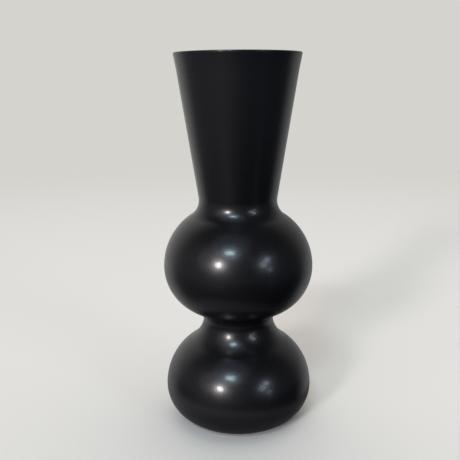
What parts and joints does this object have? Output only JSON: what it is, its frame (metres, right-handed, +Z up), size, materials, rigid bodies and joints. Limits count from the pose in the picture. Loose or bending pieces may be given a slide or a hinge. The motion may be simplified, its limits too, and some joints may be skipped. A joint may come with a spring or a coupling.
{
  "type": "double gourd vase",
  "caption": "Tall gourd-shaped vase of stacked round bulbs with a tight waist and a long flared neck with a thin rounded lip; stands on a turned foot and holds cut flowers.",
  "frame": {"origin": "middle of the plane that the foot rim rests on", "axes": "+Z up along the vase's axis, towards the mouth; the vase is round, so X and Y are free"},
  "size_m": [0.1624, 0.1624, 0.4],
  "materials": {
    "black_glaze": "satin",
    "fired_slip": "matte"
  },
  "bodies": {
    "root": {"lower_bulb": "black_glaze", "waist_slip": "fired_slip", "upper_bulb": "black_glaze", "neck_slip": "fired_slip", "flared_neck": "black_glaze"}
  },
  "joints": []
}
